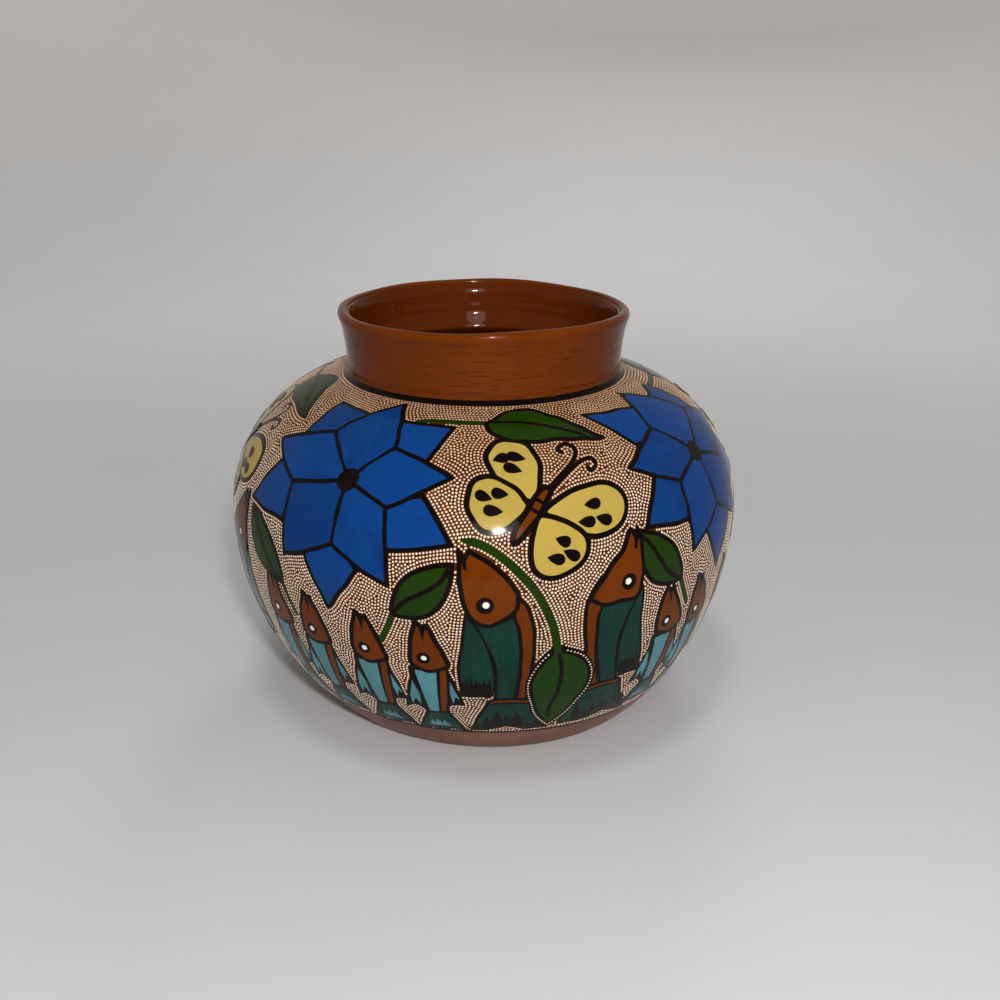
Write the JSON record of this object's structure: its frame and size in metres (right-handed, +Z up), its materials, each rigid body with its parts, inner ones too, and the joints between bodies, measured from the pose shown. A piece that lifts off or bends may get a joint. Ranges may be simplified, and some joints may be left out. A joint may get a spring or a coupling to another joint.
{
  "type": "olla",
  "caption": "Round-bellied glazed clay jar with a short flared neck and a flat base, painted with flowers, butterflies, leaves and fish on a dotted ground, for water or dry goods.",
  "frame": {"origin": "centre of the base, on the surface that the jar stands on", "axes": "+Z up along the jar's axis, -Y towards the front of the painted band, +X to the right of that front"},
  "size_m": [0.18, 0.18, 0.14],
  "materials": {
    "painted_body": "painted slip under clear gloss glaze",
    "neck_glaze": "wiped brown slip under clear gloss glaze",
    "inner_glaze": "dark brown gloss glaze",
    "bare_clay": "bare fired clay"
  },
  "bodies": {
    "root": {"front_half": "painted_body", "back_half": "painted_body", "neck_collar": "neck_glaze", "neck_joint_coil": "neck_glaze", "rim_lip": "neck_glaze", "base_disc": "bare_clay", "base_joint_coil": "inner_glaze", "left_seam_strip": "inner_glaze", "right_seam_strip": "inner_glaze"}
  },
  "joints": []
}
